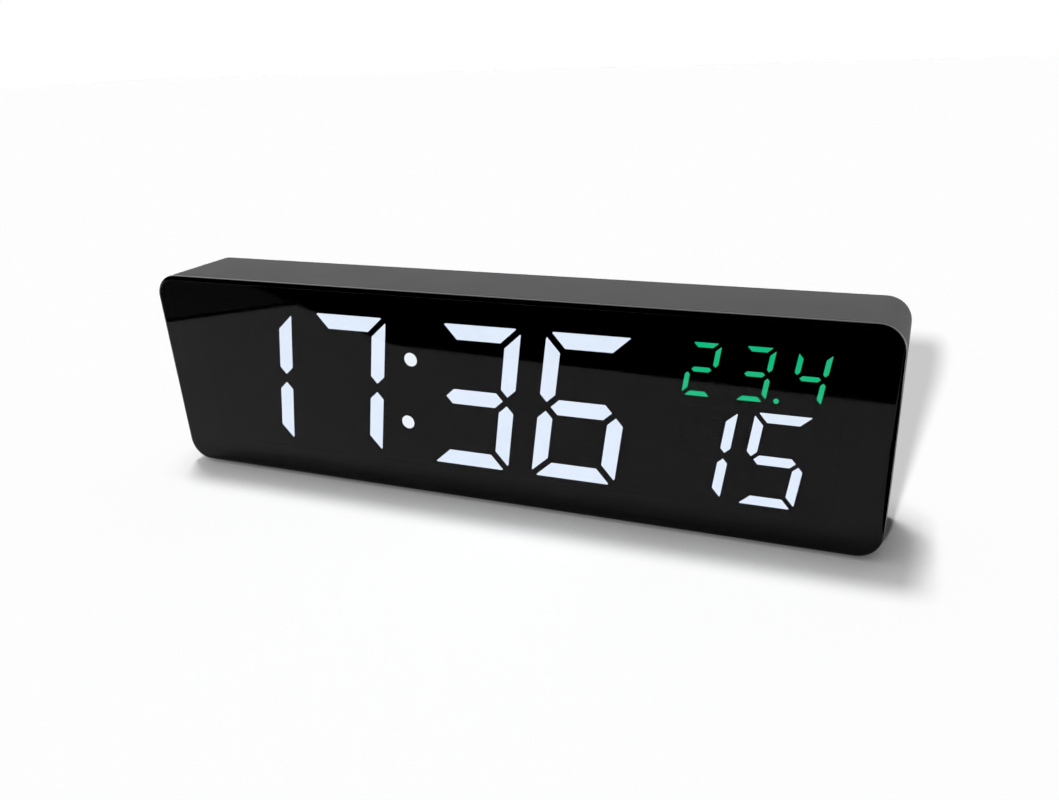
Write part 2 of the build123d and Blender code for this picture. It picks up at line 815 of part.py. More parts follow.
# Twist door: a disc with a coin slot, and a skirt whose two lugs lock under the cup's lip
with BuildPart() as battery_door:
    with BuildSketch(axial_plane(door_place, case_middle)):
        with BuildLine():
            Polyline((0, door_inside - door_pad_gap), (door_pad_radius, door_inside - door_pad_gap),
                     (door_pad_radius, door_inside), (skirt_inner, door_inside), (skirt_inner, lug_bottom),
                     (skirt_outer, lug_bottom), (skirt_outer, door_inside), (door_radius, door_inside),
                     (door_radius, cover_outside - door_edge), (door_radius - door_edge, cover_outside),
                     (0, cover_outside), close=True)
        make_face()
    revolve(axis=axial_axis(door_place, case_middle))
    with BuildSketch(front_plane(lug_top)):
        with Locations((door_place, case_middle)):
            Circle(lug_radius)
            Rectangle(2 * lug_radius, lug_width, mode=Mode.INTERSECT)
            Circle(skirt_outer - skirt_wall / 2, mode=Mode.SUBTRACT)
    extrude(amount=lug_thickness)
    with BuildSketch(front_plane(cover_outside)):
        with Locations((door_place, case_middle)):
            SlotOverall(coin_slot_length, coin_slot_width, rotation=90)
    extrude(amount=coin_slot_depth, mode=Mode.SUBTRACT)
finish(battery_door, "battery_door")

# Coin cell and its two contacts, whose feet press on the board
with BuildPart() as coin_cell:
    with BuildSketch(front_plane(cell_back)):
        with Locations((door_place, case_middle)):
            Circle(cell_radius)
    extrude(amount=cell_thickness)
    chamfer(coin_cell.faces().sort_by(Axis.Y)[0].edges(), cell_edge)
finish(coin_cell, "coin_cell")

strip_plane = Plane.XY.offset(case_middle - contact_width / 2)
with BuildPart() as cell_contact_minus:
    with BuildSketch(strip_plane):
        with BuildLine():
            Polyline((minus_place + contact_thickness, board_back),
                     (minus_place + contact_thickness, cup_inside + contact_thickness),
                     (minus_place - contact_finger, cell_front),
                     (minus_place - contact_finger, cell_front - contact_thickness),
                     (minus_place, cup_inside),
                     (minus_place, board_back + contact_thickness),
                     (minus_place - contact_foot, board_back + contact_thickness),
                     (minus_place - contact_foot, board_back), close=True)
        make_face()
    extrude(amount=contact_width)
finish(cell_contact_minus, "cell_contact_minus")

with BuildPart() as cell_contact_plus:
    with BuildSketch(strip_plane):
        with BuildLine():
            Polyline((plus_place + contact_thickness, board_back),
                     (plus_place + contact_thickness, groove_bottom - contact_rise),
                     (plus_place, groove_bottom - contact_rise),
                     (plus_place, board_back + contact_thickness),
                     (plus_place - contact_foot, board_back + contact_thickness),
                     (plus_place - contact_foot, board_back), close=True)
        make_face()
    extrude(amount=contact_width)
finish(cell_contact_plus, "cell_contact_plus")

# Push switches: square bases on the board, a plunger in each, and a key cap behind each plunger
with BuildPart() as switch_bases:
    with BuildSketch(front_plane(switch_top)):
        with Locations(*[(place, case_middle) for place in key_places]):
            Rectangle(switch_width, switch_width)
    extrude(amount=switch_height)
    with BuildSketch(front_plane(switch_top)):
        with Locations(*[(place, case_middle) for place in key_places]):
            Circle(plunger_radius + plunger_clearance)
    extrude(amount=plunger_seat + key_travel + plunger_spare, mode=Mode.SUBTRACT)
finish(switch_bases, "switch_bases")

for key_name, key_place in zip(key_names, key_places):
    with BuildPart() as plunger:
        with BuildSketch(front_plane(plunger_top)):
            with Locations((key_place, case_middle)):
                Circle(plunger_radius)
        extrude(amount=plunger_proud + plunger_seat)
    finish(plunger, f"plunger_{key_name}")
    with BuildPart() as key_cap:
        with BuildSketch(axial_plane(key_place, case_middle)):
            with BuildLine():
                Polyline((0, key_top - key_dish), (0, plunger_top), (key_stem_radius, plunger_top),
                         (key_stem_radius, flange_low), (key_radius + key_flange, flange_low),
                         (key_radius + key_flange, flange_high), (key_radius, flange_high),
                         (key_radius, key_top))
                Line((key_radius, key_top), (key_radius - key_edge, key_top))
                TangentArc((0, key_top - key_dish), (key_radius - key_edge, key_top), tangent=(1, 0))
            make_face()
        revolve(axis=axial_axis(key_place, case_middle))
    finish(key_cap, f"key_{key_name}")

# Power socket: an oval metal shell that stands on the board, with a flat tongue inside
socket_mouth = cover_outside - socket_sink
with BuildPart() as power_socket:
    with BuildSketch(front_plane(socket_mouth)):
        with Locations((socket_place, case_middle)):
            SlotOverall(socket_width, socket_height)
            SlotOverall(socket_width - 2 * socket_wall, socket_height - 2 * socket_wall, mode=Mode.SUBTRACT)
    extrude(amount=socket_mouth - board_back)
finish(power_socket, "power_socket")

with BuildPart() as power_tongue:
    with BuildSketch(front_plane(board_back + socket_base)):
        with Locations((socket_place, case_middle)):
            SlotOverall(socket_width - 2 * (socket_wall + insulator_clearance),
                        socket_height - 2 * (socket_wall + insulator_clearance))
    extrude(amount=socket_base)
    with BuildSketch(front_plane(socket_mouth - tongue_sink)):
        with Locations((socket_place, case_middle)):
            Rectangle(tongue_width, tongue_thickness)
    extrude(amount=socket_mouth - tongue_sink - board_back - socket_base)
finish(power_tongue, "power_tongue")

# Buzzer: a round can with a sound hole
with BuildPart() as buzzer:
    with BuildSketch(front_plane(board_back + buzzer_height)):
        with Locations((buzzer_vent_place, case_middle)):
            Circle(buzzer_radius)
    extrude(amount=buzzer_height)
    fillet(buzzer.faces().sort_by(Axis.Y)[-1].edges(), buzzer_edge)
    with BuildSketch(front_plane(board_back + buzzer_height)):
        with Locations((buzzer_vent_place, case_middle)):
            Circle(buzzer_hole_radius)
    extrude(amount=buzzer_hole_depth, mode=Mode.SUBTRACT)
finish(buzzer, "buzzer")

# Temperature sensor: a drop on two legs behind the vent slots
sensor_low = board_back + sensor_leg_length
with BuildPart() as temperature_sensor:
    with BuildSketch(front_plane(sensor_low + sensor_radius)):
        with Locations((sensor_vent_place, case_middle)):
            with GridLocations(sensor_leg_space, 0, 2, 1):
                Circle(sensor_leg_radius)
    extrude(amount=sensor_leg_length + sensor_radius)
    with BuildSketch(front_plane(sensor_low + sensor_length)):
        with Locations((sensor_vent_place, case_middle)):
            Circle(sensor_radius)
    extrude(amount=sensor_length)
    fillet(temperature_sensor.edges().filter_by(GeomType.CIRCLE).group_by(Axis.Y)[-1], sensor_radius / 2)
finish(temperature_sensor, "temperature_sensor")


def packaged_chips(spots):
    """Flat chips with a row of bent legs along each long side, standing on the board."""
    with BuildPart() as chips:
        with BuildSketch(front_plane(board_back + chip_body_height)):
            with Locations(*spots):
                Rectangle(chip_body_length, chip_body_width)
        extrude(amount=chip_body_height - chip_stand)
        chamfer(chips.faces().group_by(Axis.Y)[-1].edges(), chip_edge)
        with BuildSketch(front_plane(board_back + chip_body_height / 2)):
            with Locations(*spots):
                with GridLocations(leg_pitch, chip_body_width + leg_reach, leg_count, 2):
                    Rectangle(leg_width, leg_reach)
        extrude(amount=leg_thickness)
        with BuildSketch(front_plane(board_back + chip_body_height / 2)):
            with Locations(*spots):
                with GridLocations(leg_pitch, chip_body_width + 2 * leg_reach - leg_thickness, leg_count, 2):
                    Rectangle(leg_width, leg_thickness)
        extrude(amount=chip_body_height / 2)
    return chips


finish(packaged_chips([(controller_place, case_middle + controller_lift)]), "microcontroller")
driver_spots = [(driver_first, case_middle + driver_lift), (driver_second, case_middle + driver_lift)]
finish(packaged_chips(driver_spots), "driver_chips")

# Crystal can, lying on the board
with BuildPart() as crystal:
    with BuildSketch(Plane.YZ.offset(controller_place)):
        with Locations((board_back + crystal_radius + crystal_gap, case_middle - crystal_drop)):
            Circle(crystal_radius)
    extrude(amount=crystal_length)
    fillet(crystal.faces().sort_by(Axis.X)[-1].edges(), crystal_radius / 2)
finish(crystal, "crystal")

# Capacitors beside the power socket
with BuildPart() as capacitors:
    with BuildSketch(front_plane(board_back + capacitor_height)):
        with Locations(*[(capacitor_first + step * capacitor_pitch, case_middle - capacitor_drop)
                         for step in range(2)]):
            Circle(capacitor_radius)
    extrude(amount=capacitor_height)
    fillet(capacitors.faces().group_by(Axis.Y)[-1].edges(), capacitor_edge)
finish(capacitors, "capacitors")

print(f"case {case_width:.2f} x {case_depth:.2f} x {case_height + foot_proud:.2f} mm")
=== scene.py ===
import math
from typing import NamedTuple

import bpy
from bpy.props import FloatProperty, FloatVectorProperty, PointerProperty
from bpy.types import Operator, Panel, PropertyGroup
from mathutils import Matrix, Vector


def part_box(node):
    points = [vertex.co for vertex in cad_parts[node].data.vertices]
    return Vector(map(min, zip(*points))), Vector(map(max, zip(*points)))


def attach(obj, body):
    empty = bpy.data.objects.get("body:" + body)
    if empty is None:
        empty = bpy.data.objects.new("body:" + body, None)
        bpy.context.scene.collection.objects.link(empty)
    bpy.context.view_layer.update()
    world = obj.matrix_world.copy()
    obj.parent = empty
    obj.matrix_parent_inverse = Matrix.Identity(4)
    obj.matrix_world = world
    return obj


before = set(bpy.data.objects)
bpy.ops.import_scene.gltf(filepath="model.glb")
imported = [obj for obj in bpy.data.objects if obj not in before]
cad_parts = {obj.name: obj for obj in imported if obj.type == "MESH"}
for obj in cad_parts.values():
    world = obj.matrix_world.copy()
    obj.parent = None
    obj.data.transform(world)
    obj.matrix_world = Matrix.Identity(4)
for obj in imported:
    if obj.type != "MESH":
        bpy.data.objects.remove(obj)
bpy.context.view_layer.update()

bl_info = {
    "name": "Desk Clock",
    "version": (1, 0, 0),
    "blender": (4, 5, 0),
    "location": "View3D > Sidebar > Desk Clock",
    "description": "Dresses a digital desk clock and sets it on a studio floor",
    "category": "Object",
}

KEYS = ("mode", "up", "down", "alarm", "light")
MILLIMETRE = 0.001
QUARTER_TURN = math.radians(90)

# Kinds of sockets on node groups, and what the surface groups give out
COLOUR = "NodeSocketColor"
VALUE = "NodeSocketFloat"
VECTOR = "NodeSocketVector"
SURFACE = {"Colour": COLOUR, "Roughness": VALUE, "Height": VALUE}

# Matt black on the faces behind the lens, the dark resin of the lit segments, and plain white
BLACKED = (0.0003, 0.0003, 0.0003)
RESIN = (0.02, 0.02, 0.02)
WHITE = (1.0, 1.0, 1.0)

# Shader constants of the floor and the cards, which have no gloss
MATT = {"Roughness": 1.0, "Specular IOR Level": 0.0}

# The middle value of a noise texture, and how strongly every bump map works
NOISE_MEAN = 0.5
BUMP_STRENGTH = 0.5

# Radius of the face's corners, which the border masks follow
CORNER = 6.7 * MILLIMETRE

# The lens is darkened this far in from its outline, to this share of its tint
LENS_RIM = 1.8 * MILLIMETRE
LENS_RIM_SHARE = 0.04

# The sleeve's colour starts this far behind its front, and lies this deep in from its outline
SKIN_START = 0.02 * MILLIMETRE
SKIN_DEPTH = 1.0 * MILLIMETRE

# The reflector is blacked this far back from its front, and this far in from its outline
REFLECTOR_FACE = 2.2 * MILLIMETRE
REFLECTOR_BORDER = 1.3 * MILLIMETRE

# Length of a capacitor's bare metal end
CAPACITOR_END = 0.5 * MILLIMETRE

# Second shade of the board and shade of its tracks, as shares of the lacquer's colour
BOARD_SHADE = 0.8
TRACK_SHADE = 2.2

# New pieces are shaded smooth across edges that turn by less than this angle
SMOOTH_ANGLE = math.radians(40)

# Steps in a bevelled rim, and how level its points are, as a share of the bevel
RIM_STEPS = 2
LEVEL_SHARE = 0.1

# Depth of the dish in a key, and how deep the marks and pads are sunk in what carries them
KEY_DISH = 0.25 * MILLIMETRE
MARK_SINK = 0.05 * MILLIMETRE
PAD_SINK = 0.03 * MILLIMETRE

# Corners of the mark on each key, and its turn in degrees
MARK_CORNERS = {"mode": 4, "up": 3, "down": 3, "alarm": 6, "light": 24}
MARK_TURNS = {"mode": 45.0, "up": 0.0, "down": 180.0, "alarm": 0.0, "light": 0.0}

# How far the door's sign and the locking dots stand from its middle, as shares of its radius
SIGN_PLACE = 0.78
DOT_PLACE = 1.17

# Where the locking dots stand round the door, in degrees, and the corners of each
DOT_ANGLES = (90.0, 45.0)
DOT_CORNERS = 20

# Half the thickness of the socket's tongue
TONGUE_HALF = 0.35 * MILLIMETRE

# Contact pads on each side of the tongue, their pitch in widths and their bevel in heights
PADS_PER_SIDE = 5
PAD_PITCH = 2.0
PAD_EDGE = 1 / 3

# Width of the camera's sensor in millimetres, and the nearest that it sees in metres
SENSOR_WIDTH = 36.0
CLIP_START = 0.01


class Card(NamedTuple):
    """A dark card with one edge from start to end: it lies to the left of that edge or stands on it."""

    name: str
    start: tuple
    end: tuple
    depth: float
    shade: float = 0.0
    height: float = 0.5 * MILLIMETRE
    upright: bool = False


# The corner that the front card and the side card share
CARD_BEND = (-0.1115, -0.1412)

# Dark cards that only glossy and transmitted rays see, a painted reflection of dark surroundings: cards
# on the floor round the clock, one card above it, and two walls where floor and sky meet
CARDS = (
    Card("front_flag", start=(0.7, -0.0877), end=CARD_BEND, depth=0.6),
    Card("side_flag", start=CARD_BEND, end=(-0.2518, -0.2186), depth=0.6, height=0.8 * MILLIMETRE),
    Card("edge_flag", start=(-0.1992, -0.1896), end=(-0.28, -0.108), depth=0.009),
    Card("corner_flag", start=(-0.205, -0.1972), end=(-0.286, -0.1155), depth=0.2, shade=0.16),
    Card("right_flag", start=(0.124, 0.1), end=(0.124, -0.085), depth=0.6),
    Card("left_flag", start=(-0.124, -0.0125), end=(-0.124, 0.6), depth=0.6),
    Card("top_flag", start=(2.0, 0.3), end=(-2.0, 0.3), depth=3.3, height=0.45),
    Card("front_wall", start=(1.5, -0.95), end=(-1.5, -0.95), depth=0.5, upright=True),
    Card("right_wall", start=(0.9, 0.2), end=(0.9, -0.95), depth=0.5, upright=True),
)


def colour_prop(name, description, default):
    """A linear colour that a user can pick."""
    return FloatVectorProperty(name=name, description=description, subtype="COLOR", size=3,
                               min=0.0, max=1.0, default=default)


def length_prop(name, description, default):
    """A length in metres."""
    return FloatProperty(name=name, description=description, default=default, precision=5,
                         subtype="DISTANCE", unit="LENGTH")


def place_prop(name, description, default):
    """A point in metres."""
    return FloatVectorProperty(name=name, description=description, default=default,
                               subtype="TRANSLATION", unit="LENGTH")


def direction_prop(name, description, default):
    """A direction."""
    return FloatVectorProperty(name=name, description=description, default=default, subtype="DIRECTION")


def angle_prop(name, description, degrees):
    """An angle, given in degrees."""
    return FloatProperty(name=name, description=description, default=math.radians(degrees),
                         subtype="ANGLE")


def number_prop(name, description, default):
    """A plain number."""
    return FloatProperty(name=name, description=description, default=default)


class ClockFinishes(PropertyGroup):
    """Colours of the clock's finishes."""

    case: colour_prop("Case", "Moulded sleeve", (0.057, 0.057, 0.057))
    cover: colour_prop("Rear cover", "Moulded rear cover", (0.05, 0.051, 0.053))
    door: colour_prop("Battery door", "Moulded twist door", (0.055, 0.056, 0.058))
    key: colour_prop("Keys", "Key caps", (0.12, 0.122, 0.126))
    mark: colour_prop("Marks", "Raised marks on keys and door", (0.42, 0.42, 0.43))
    lens: colour_prop("Lens", "Tint of the smoked front lens", (0.05, 0.05, 0.0525))
    rubber: colour_prop("Feet", "Rubber feet", (0.02, 0.02, 0.021))
    digits: colour_prop("Time and date", "Light of the large digits", (0.775, 0.865, 0.955))
    dots: colour_prop("Colon", "Light of the colon's dots", (0.86, 0.92, 0.925))
    temperature: colour_prop("Temperature", "Light of the small digits", (0.0115, 0.505, 0.208))
    glow: number_prop("Glow", "Emission strength of lit segments", 19.8)
    reflector: colour_prop("Reflector", "Walls of the display's funnels", (0.78, 0.78, 0.77))
    light_chip: colour_prop("Light chips", "Chips behind the segments", (0.75, 0.62, 0.2))
    board: colour_prop("Board", "Lacquer of the circuit board", (0.006, 0.07, 0.03))
    package: colour_prop("Packages", "Microcontroller and drivers", (0.012, 0.012, 0.013))
    buzzer: colour_prop("Buzzer", "Can of the buzzer", (0.015, 0.015, 0.016))
    sensor: colour_prop("Sensor", "Bead of the temperature sensor", (0.02, 0.018, 0.016))
    switch: colour_prop("Switches", "Bodies of the push switches", (0.02, 0.02, 0.021))
    plunger: colour_prop("Plungers", "Plungers of the push switches", (0.025, 0.024, 0.022))
    crystal: colour_prop("Crystal", "Can of the crystal", (0.66, 0.66, 0.67))
    sleeve: colour_prop("Capacitors", "Sleeves of the capacitors", (0.02, 0.022, 0.05))
    sleeve_end: colour_prop("Capacitor ends", "Bare ends of the capacitors", (0.5, 0.5, 0.52))
    steel: colour_prop("Screws", "Blackened steel", (0.09, 0.09, 0.095))
    cell: colour_prop("Coin cell", "Can of the coin cell", (0.62, 0.62, 0.63))
    strip: colour_prop("Cell contacts", "Springy contact strips", (0.66, 0.62, 0.54))
    shell: colour_prop("Socket", "Shell of the power socket", (0.6, 0.6, 0.62))
    tongue: colour_prop("Tongue", "Tongue in the power socket", (0.012, 0.012, 0.012))
    gilt: colour_prop("Contact pads", "Gilded pads on the tongue", (0.83, 0.6, 0.24))


class ClockDetails(PropertyGroup):
    """Sizes of the small raised marks and contact pads."""

    mark_radius: length_prop("Mark radius", "Radius of a key's raised mark", 1.2 * MILLIMETRE)
    mark_height: length_prop("Mark height", "How far a mark stands out", 0.14 * MILLIMETRE)
    mark_edge: length_prop("Mark edge", "Bevel of a mark's rim", 0.05 * MILLIMETRE)
    plus_size: length_prop("Plus size", "Width of the door's sign", 3.4 * MILLIMETRE)
    plus_bar: length_prop("Plus bar", "Bar width of the door's sign", 0.7 * MILLIMETRE)
    dot_radius: length_prop("Dot radius", "Radius of the locking dots", 0.6 * MILLIMETRE)
    pad_width: length_prop("Pad width", "Width of a contact pad", 0.55 * MILLIMETRE)
    pad_height: length_prop("Pad height", "How far a pad stands off the tongue", 0.08 * MILLIMETRE)
    pad_start: length_prop("Pad start", "From the tongue's tip to a pad's near end", 0.6 * MILLIMETRE)
    pad_end: length_prop("Pad end", "From the tongue's tip to a pad's far end", 4.5 * MILLIMETRE)


class ClockStage(PropertyGroup):
    """Camera, floor and light."""

    camera_place: place_prop("Camera", "Where the camera stands", (0.112135, -0.227196, 0.124251))
    camera_aim: place_prop("Aim", "A point on the camera's axis", (0.025885, -0.01375, 0.019456))
    camera_roll: angle_prop("Roll", "Turn of the camera about its axis", -2.156)
    focal_length: number_prop("Focal length", "In millimetres", 31.069)
    shift_x: number_prop("Shift X", "Sideways shift of the frame", -0.03779)
    shift_y: number_prop("Shift Y", "Upward shift of the frame", 0.05201)
    floor_size: length_prop("Floor", "Side of the floor", 8.0)
    floor_colour: colour_prop("Floor colour", "Pale floor", (0.95, 0.95, 0.95))
    floor_lift: number_prop("Floor lift", "Light that only the view of the floor gets", 0.03)
    # Reach and lean of the painted shadow that darkens the floor's colour round the clock's foot
    painted_shadow_reach: length_prop("Contact reach", "Reach of the soft shadow at the clock's foot",
                               15.0 * MILLIMETRE)
    painted_shadow_lean: direction_prop("Contact lean", "Side that the soft shadow's light comes from",
                                 (-0.62, 0.14, 0.772))
    sky: number_prop("Sky", "Strength of the soft light from all round", 0.08)
    key_light: number_prop("Key light", "Strength of the light from the front", 3.95)
    key_light_aim: direction_prop("Key aim", "Where the key light travels", (0.07, 0.94, -0.34))
    key_light_spread: angle_prop("Key spread", "Softness of the key light's shadow", 3.0)
    top_light: number_prop("Top light", "Strength of the light from above", 1.62)
    top_light_aim: direction_prop("Top aim", "Where the top light travels", (0.18, -0.2, -1.0))
    top_light_spread: angle_prop("Top spread", "Softness of the top light's shadow", 10.0)


# Node helpers

def opaque(colour):
    """A colour with full alpha, as a colour socket takes it."""
    return (*colour, 1.0)


def scaled(colour, share):
    """A lighter or darker shade of a colour."""
    return [share * part for part in colour]


def add_node(tree, kind, settings=None, inputs=None):
    """A new node with some of its settings and unlinked inputs filled in."""
    made = tree.nodes.new(kind)
    for name, value in (settings or {}).items():
        setattr(made, name, value)
    for name, value in (inputs or {}).items():
        made.inputs[name].default_value = value
    return made


def math_node(tree, operation, first, second):
    """A maths node on two values or sockets, returned as its output socket."""
    made = add_node(tree, "ShaderNodeMath", {"operation": operation})
    for socket, value in zip(made.inputs, (first, second)):
        if isinstance(value, (int, float)):
            socket.default_value = value
        else:
            tree.links.new(value, socket)
    return made.outputs["Value"]


def new_group(name, inputs, outputs):
    """An empty shader node group with named sockets, as its tree, input node and output node."""
    tree = bpy.data.node_groups.new(name, "ShaderNodeTree")
    for way, sockets in (("INPUT", inputs), ("OUTPUT", outputs)):
        for label, kind in sockets.items():
            tree.interface.new_socket(name=label, in_out=way, socket_type=kind)
    return tree, tree.nodes.new("NodeGroupInput"), tree.nodes.new("NodeGroupOutput")


def noise_about_zero(tree, noise):
    """A noise texture's value less its middle value, as an output socket."""
    return math_node(tree, "SUBTRACT", noise.outputs["Fac"], NOISE_MEAN)


def shade_colour(tree, source, sink, swing, amount, channels=("Value",)):
    """Lead a group's colour to its output, with channels raised and lowered by a swing about zero."""
    level = math_node(tree, "ADD", math_node(tree, "MULTIPLY", swing, source.outputs[amount]), 1.0)
    tone = add_node(tree, "ShaderNodeHueSaturation")
    tree.links.new(source.outputs["Colour"], tone.inputs["Color"])
    for channel in channels:
        tree.links.new(level, tone.inputs[channel])
    tree.links.new(tone.outputs["Color"], sink.inputs["Colour"])


def shade_gloss(tree, source, sink, swing):
    """Lead a group's roughness to its output, raised and lowered by a swing about zero."""
    blur = math_node(tree, "MULTIPLY", swing, source.outputs["Unevenness"])
    tree.links.new(math_node(tree, "ADD", blur, source.outputs["Roughness"]), sink.inputs["Roughness"])


def grain_group():
    """Fine moulded grain: a mottled colour, an uneven gloss and a height for bumps."""
    name = "Moulded Grain"
    if name in bpy.data.node_groups:
        return bpy.data.node_groups[name]
    tree, source, sink = new_group(
        name,
        {"Colour": COLOUR, "Grain": VALUE, "Mottle": VALUE, "Roughness": VALUE, "Unevenness": VALUE},
        SURFACE)
    place = add_node(tree, "ShaderNodeTexCoord")
    fine = add_node(tree, "ShaderNodeTexNoise", inputs={"Detail": 3.0, "Roughness": 0.6})
    broad = add_node(tree, "ShaderNodeTexNoise",
                     inputs={"Scale": 60.0, "Detail": 4.0, "Roughness": 0.55})
    tree.links.new(place.outputs["Object"], fine.inputs["Vector"])
    tree.links.new(place.outputs["Object"], broad.inputs["Vector"])
    tree.links.new(source.outputs["Grain"], fine.inputs["Scale"])
    swing = math_node(tree, "ADD", noise_about_zero(tree, fine), noise_about_zero(tree, broad))
    shade_colour(tree, source, sink, swing, "Mottle")
    shade_gloss(tree, source, sink, swing)
    tree.links.new(fine.outputs["Fac"], sink.inputs["Height"])
    return tree


def brushed_group():
    """Fine drawn lines in metal: a streaked colour, a streaked gloss and a height."""
    name = "Drawn Metal"
    if name in bpy.data.node_groups:
        return bpy.data.node_groups[name]
    tree, source, sink = new_group(
        name,
        {"Colour": COLOUR, "Lines": VALUE, "Contrast": VALUE, "Roughness": VALUE, "Unevenness": VALUE},
        SURFACE)
    place = add_node(tree, "ShaderNodeTexCoord")
    stretch = add_node(tree, "ShaderNodeMapping", inputs={"Scale": (0.06, 1.0, 1.0)})
    lines = add_node(tree, "ShaderNodeTexNoise", inputs={"Detail": 4.0, "Roughness": 0.65})
    stains = add_node(tree, "ShaderNodeTexNoise", inputs={"Scale": 220.0, "Detail": 3.0})
    tree.links.new(place.outputs["Object"], stretch.inputs["Vector"])
    tree.links.new(stretch.outputs["Vector"], lines.inputs["Vector"])
    tree.links.new(place.outputs["Object"], stains.inputs["Vector"])
    tree.links.new(source.outputs["Lines"], lines.inputs["Scale"])
    streaks = noise_about_zero(tree, lines)
    shade_colour(tree, source, sink, streaks, "Contrast")
    shade_gloss(tree, source, sink, math_node(tree, "ADD", streaks, noise_about_zero(tree, stains)))
    tree.links.new(lines.outputs["Fac"], sink.inputs["Height"])
    return tree


def light_group():
    """Uneven light of a lit segment: soft patches, brighter and stronger in colour or less so."""
    name = "Segment Light"
    if name in bpy.data.node_groups:
        return bpy.data.node_groups[name]
    tree, source, sink = new_group(name, {"Colour": COLOUR, "Unevenness": VALUE}, {"Colour": COLOUR})
    place = add_node(tree, "ShaderNodeTexCoord")
    cloud = add_node(tree, "ShaderNodeTexNoise", inputs={"Scale": 160.0, "Detail": 2.0})
    tree.links.new(place.outputs["Object"], cloud.inputs["Vector"])
    shade_colour(tree, source, sink, noise_about_zero(tree, cloud), "Unevenness", ("Value", "Saturation"))
    return tree


def border_group():
    """A mask that is 1 near or outside a rounded outline across X and Z, and 0 well inside it."""
    name = "Outline Border"
    if name in bpy.data.node_groups:
        return bpy.data.node_groups[name]
    tree, source, sink = new_group(
        name, {"Middle": VECTOR, "Core": VECTOR, "Reach": VALUE}, {"Border": VALUE})
    place = add_node(tree, "ShaderNodeTexCoord")
    nowhere = (0.0, 0.0, 0.0)
    across = (1.0, 0.0, 1.0)
    steps = (("SUBTRACT", source.outputs["Middle"]), ("ABSOLUTE", None),
             ("SUBTRACT", source.outputs["Core"]), ("MAXIMUM", nowhere), ("MULTIPLY", across))
    spot = place.outputs["Object"]
    for operation, other in steps:
        made = add_node(tree, "ShaderNodeVectorMath", {"operation": operation})
        tree.links.new(spot, made.inputs[0])
        if isinstance(other, tuple):
            made.inputs[1].default_value = other
        elif other:
            tree.links.new(other, made.inputs[1])
        spot = made.outputs["Vector"]
    away = add_node(tree, "ShaderNodeVectorMath", {"operation": "LENGTH"})
    tree.links.new(spot, away.inputs[0])
    near = math_node(tree, "GREATER_THAN", away.outputs["Value"], source.outputs["Reach"])
    tree.links.new(near, sink.inputs["Border"])
    return tree


def border_mask(tree, node_name, margin):
    """The border mask of one CAD node in a material, as an output socket."""
    low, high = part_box(node_name)
    half = (high - low) / 2
    core = (half.x - CORNER, 0.0, half.z - CORNER)
    made = add_node(tree, "ShaderNodeGroup", {"node_tree": border_group()},
                    {"Middle": (low + high) / 2, "Core": core, "Reach": CORNER - margin})
    return made.outputs["Border"]


def behind_level(tree, level):
    """A mask that is 1 behind a level along Y."""
    place = add_node(tree, "ShaderNodeTexCoord")
    axes = add_node(tree, "ShaderNodeSeparateXYZ")
    tree.links.new(place.outputs["Object"], axes.inputs["Vector"])
    return math_node(tree, "GREATER_THAN", axes.outputs["Y"], level)


def outer_skin(tree):
    """A mask for the sleeve's outside, behind its front face."""
    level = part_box("housing")[0].y + SKIN_START
    border = border_mask(tree, "housing", SKIN_DEPTH)
    return math_node(tree, "MULTIPLY", behind_level(tree, level), border)


def funnel_walls(tree):
    """A mask for the inside of the reflector, behind its face."""
    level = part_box("display_reflector")[0].y + REFLECTOR_FACE
    border = border_mask(tree, "display_reflector", REFLECTOR_BORDER)
    within = math_node(tree, "SUBTRACT", 1.0, border)
    return math_node(tree, "MULTIPLY", behind_level(tree, level), within)


def capacitor_top(tree):
    """A mask for the bare metal end of a capacitor."""
    return behind_level(tree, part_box("capacitors")[1].y - CAPACITOR_END)


def colour_mix(tree, factor, first, second):
    """Two colours mixed by a mask, as an output socket."""
    made = add_node(tree, "ShaderNodeMix", {"data_type": "RGBA"},
                    {"A": opaque(first), "B": opaque(second)})
    tree.links.new(factor, made.inputs["Factor"])
    return made.outputs["Result"]


def new_material(name, constants):
    """A material whose Principled shader has these constants, as the material, tree and shader."""
    material = bpy.data.materials.new(name)
    material.use_nodes = True
    shader = material.node_tree.nodes["Principled BSDF"]
    for label, value in constants.items():
        shader.inputs[label].default_value = value
    return material, material.node_tree, shader


def add_surface(tree, shader, group, values, colour=None):
    """A surface group whose colour and gloss go to the shader. Its own colour may come from a socket."""
    surface = add_node(tree, "ShaderNodeGroup", {"node_tree": group}, values)
    if colour is not None:
        tree.links.new(colour, surface.inputs["Colour"])
    tree.links.new(surface.outputs["Colour"], shader.inputs["Base Color"])
    tree.links.new(surface.outputs["Roughness"], shader.inputs["Roughness"])
    return surface


def add_relief(tree, shader, height, depth):
    """Bumps of some depth in metres, from a height socket."""
    relief = add_node(tree, "ShaderNodeBump", inputs={"Strength": BUMP_STRENGTH, "Distance": depth})
    tree.links.new(height, relief.inputs["Height"])
    tree.links.new(relief.outputs["Normal"], shader.inputs["Normal"])


def textured(name, group, values, bump, constants):
    """A material whose colour, gloss and bumps come from one of the surface groups."""
    material, tree, shader = new_material(name, constants)
    surface = add_surface(tree, shader, group, values)
    add_relief(tree, shader, surface.outputs["Height"], bump)
    return material


def moulded(name, colour, roughness, grain=2500.0, mottle=0.16, bump=0.03 * MILLIMETRE, specular=0.5):
    """Moulded plastic or rubber with a fine grain."""
    values = {"Colour": opaque(colour), "Grain": grain, "Mottle": mottle, "Roughness": roughness,
              "Unevenness": 0.14}
    return textured(name, grain_group(), values, bump, {"Specular IOR Level": specular})


def mark_paint(name, colour):
    """Smooth paint on the raised marks."""
    return moulded(name, colour, roughness=0.5, grain=3500.0, mottle=0.1, bump=0.01 * MILLIMETRE)


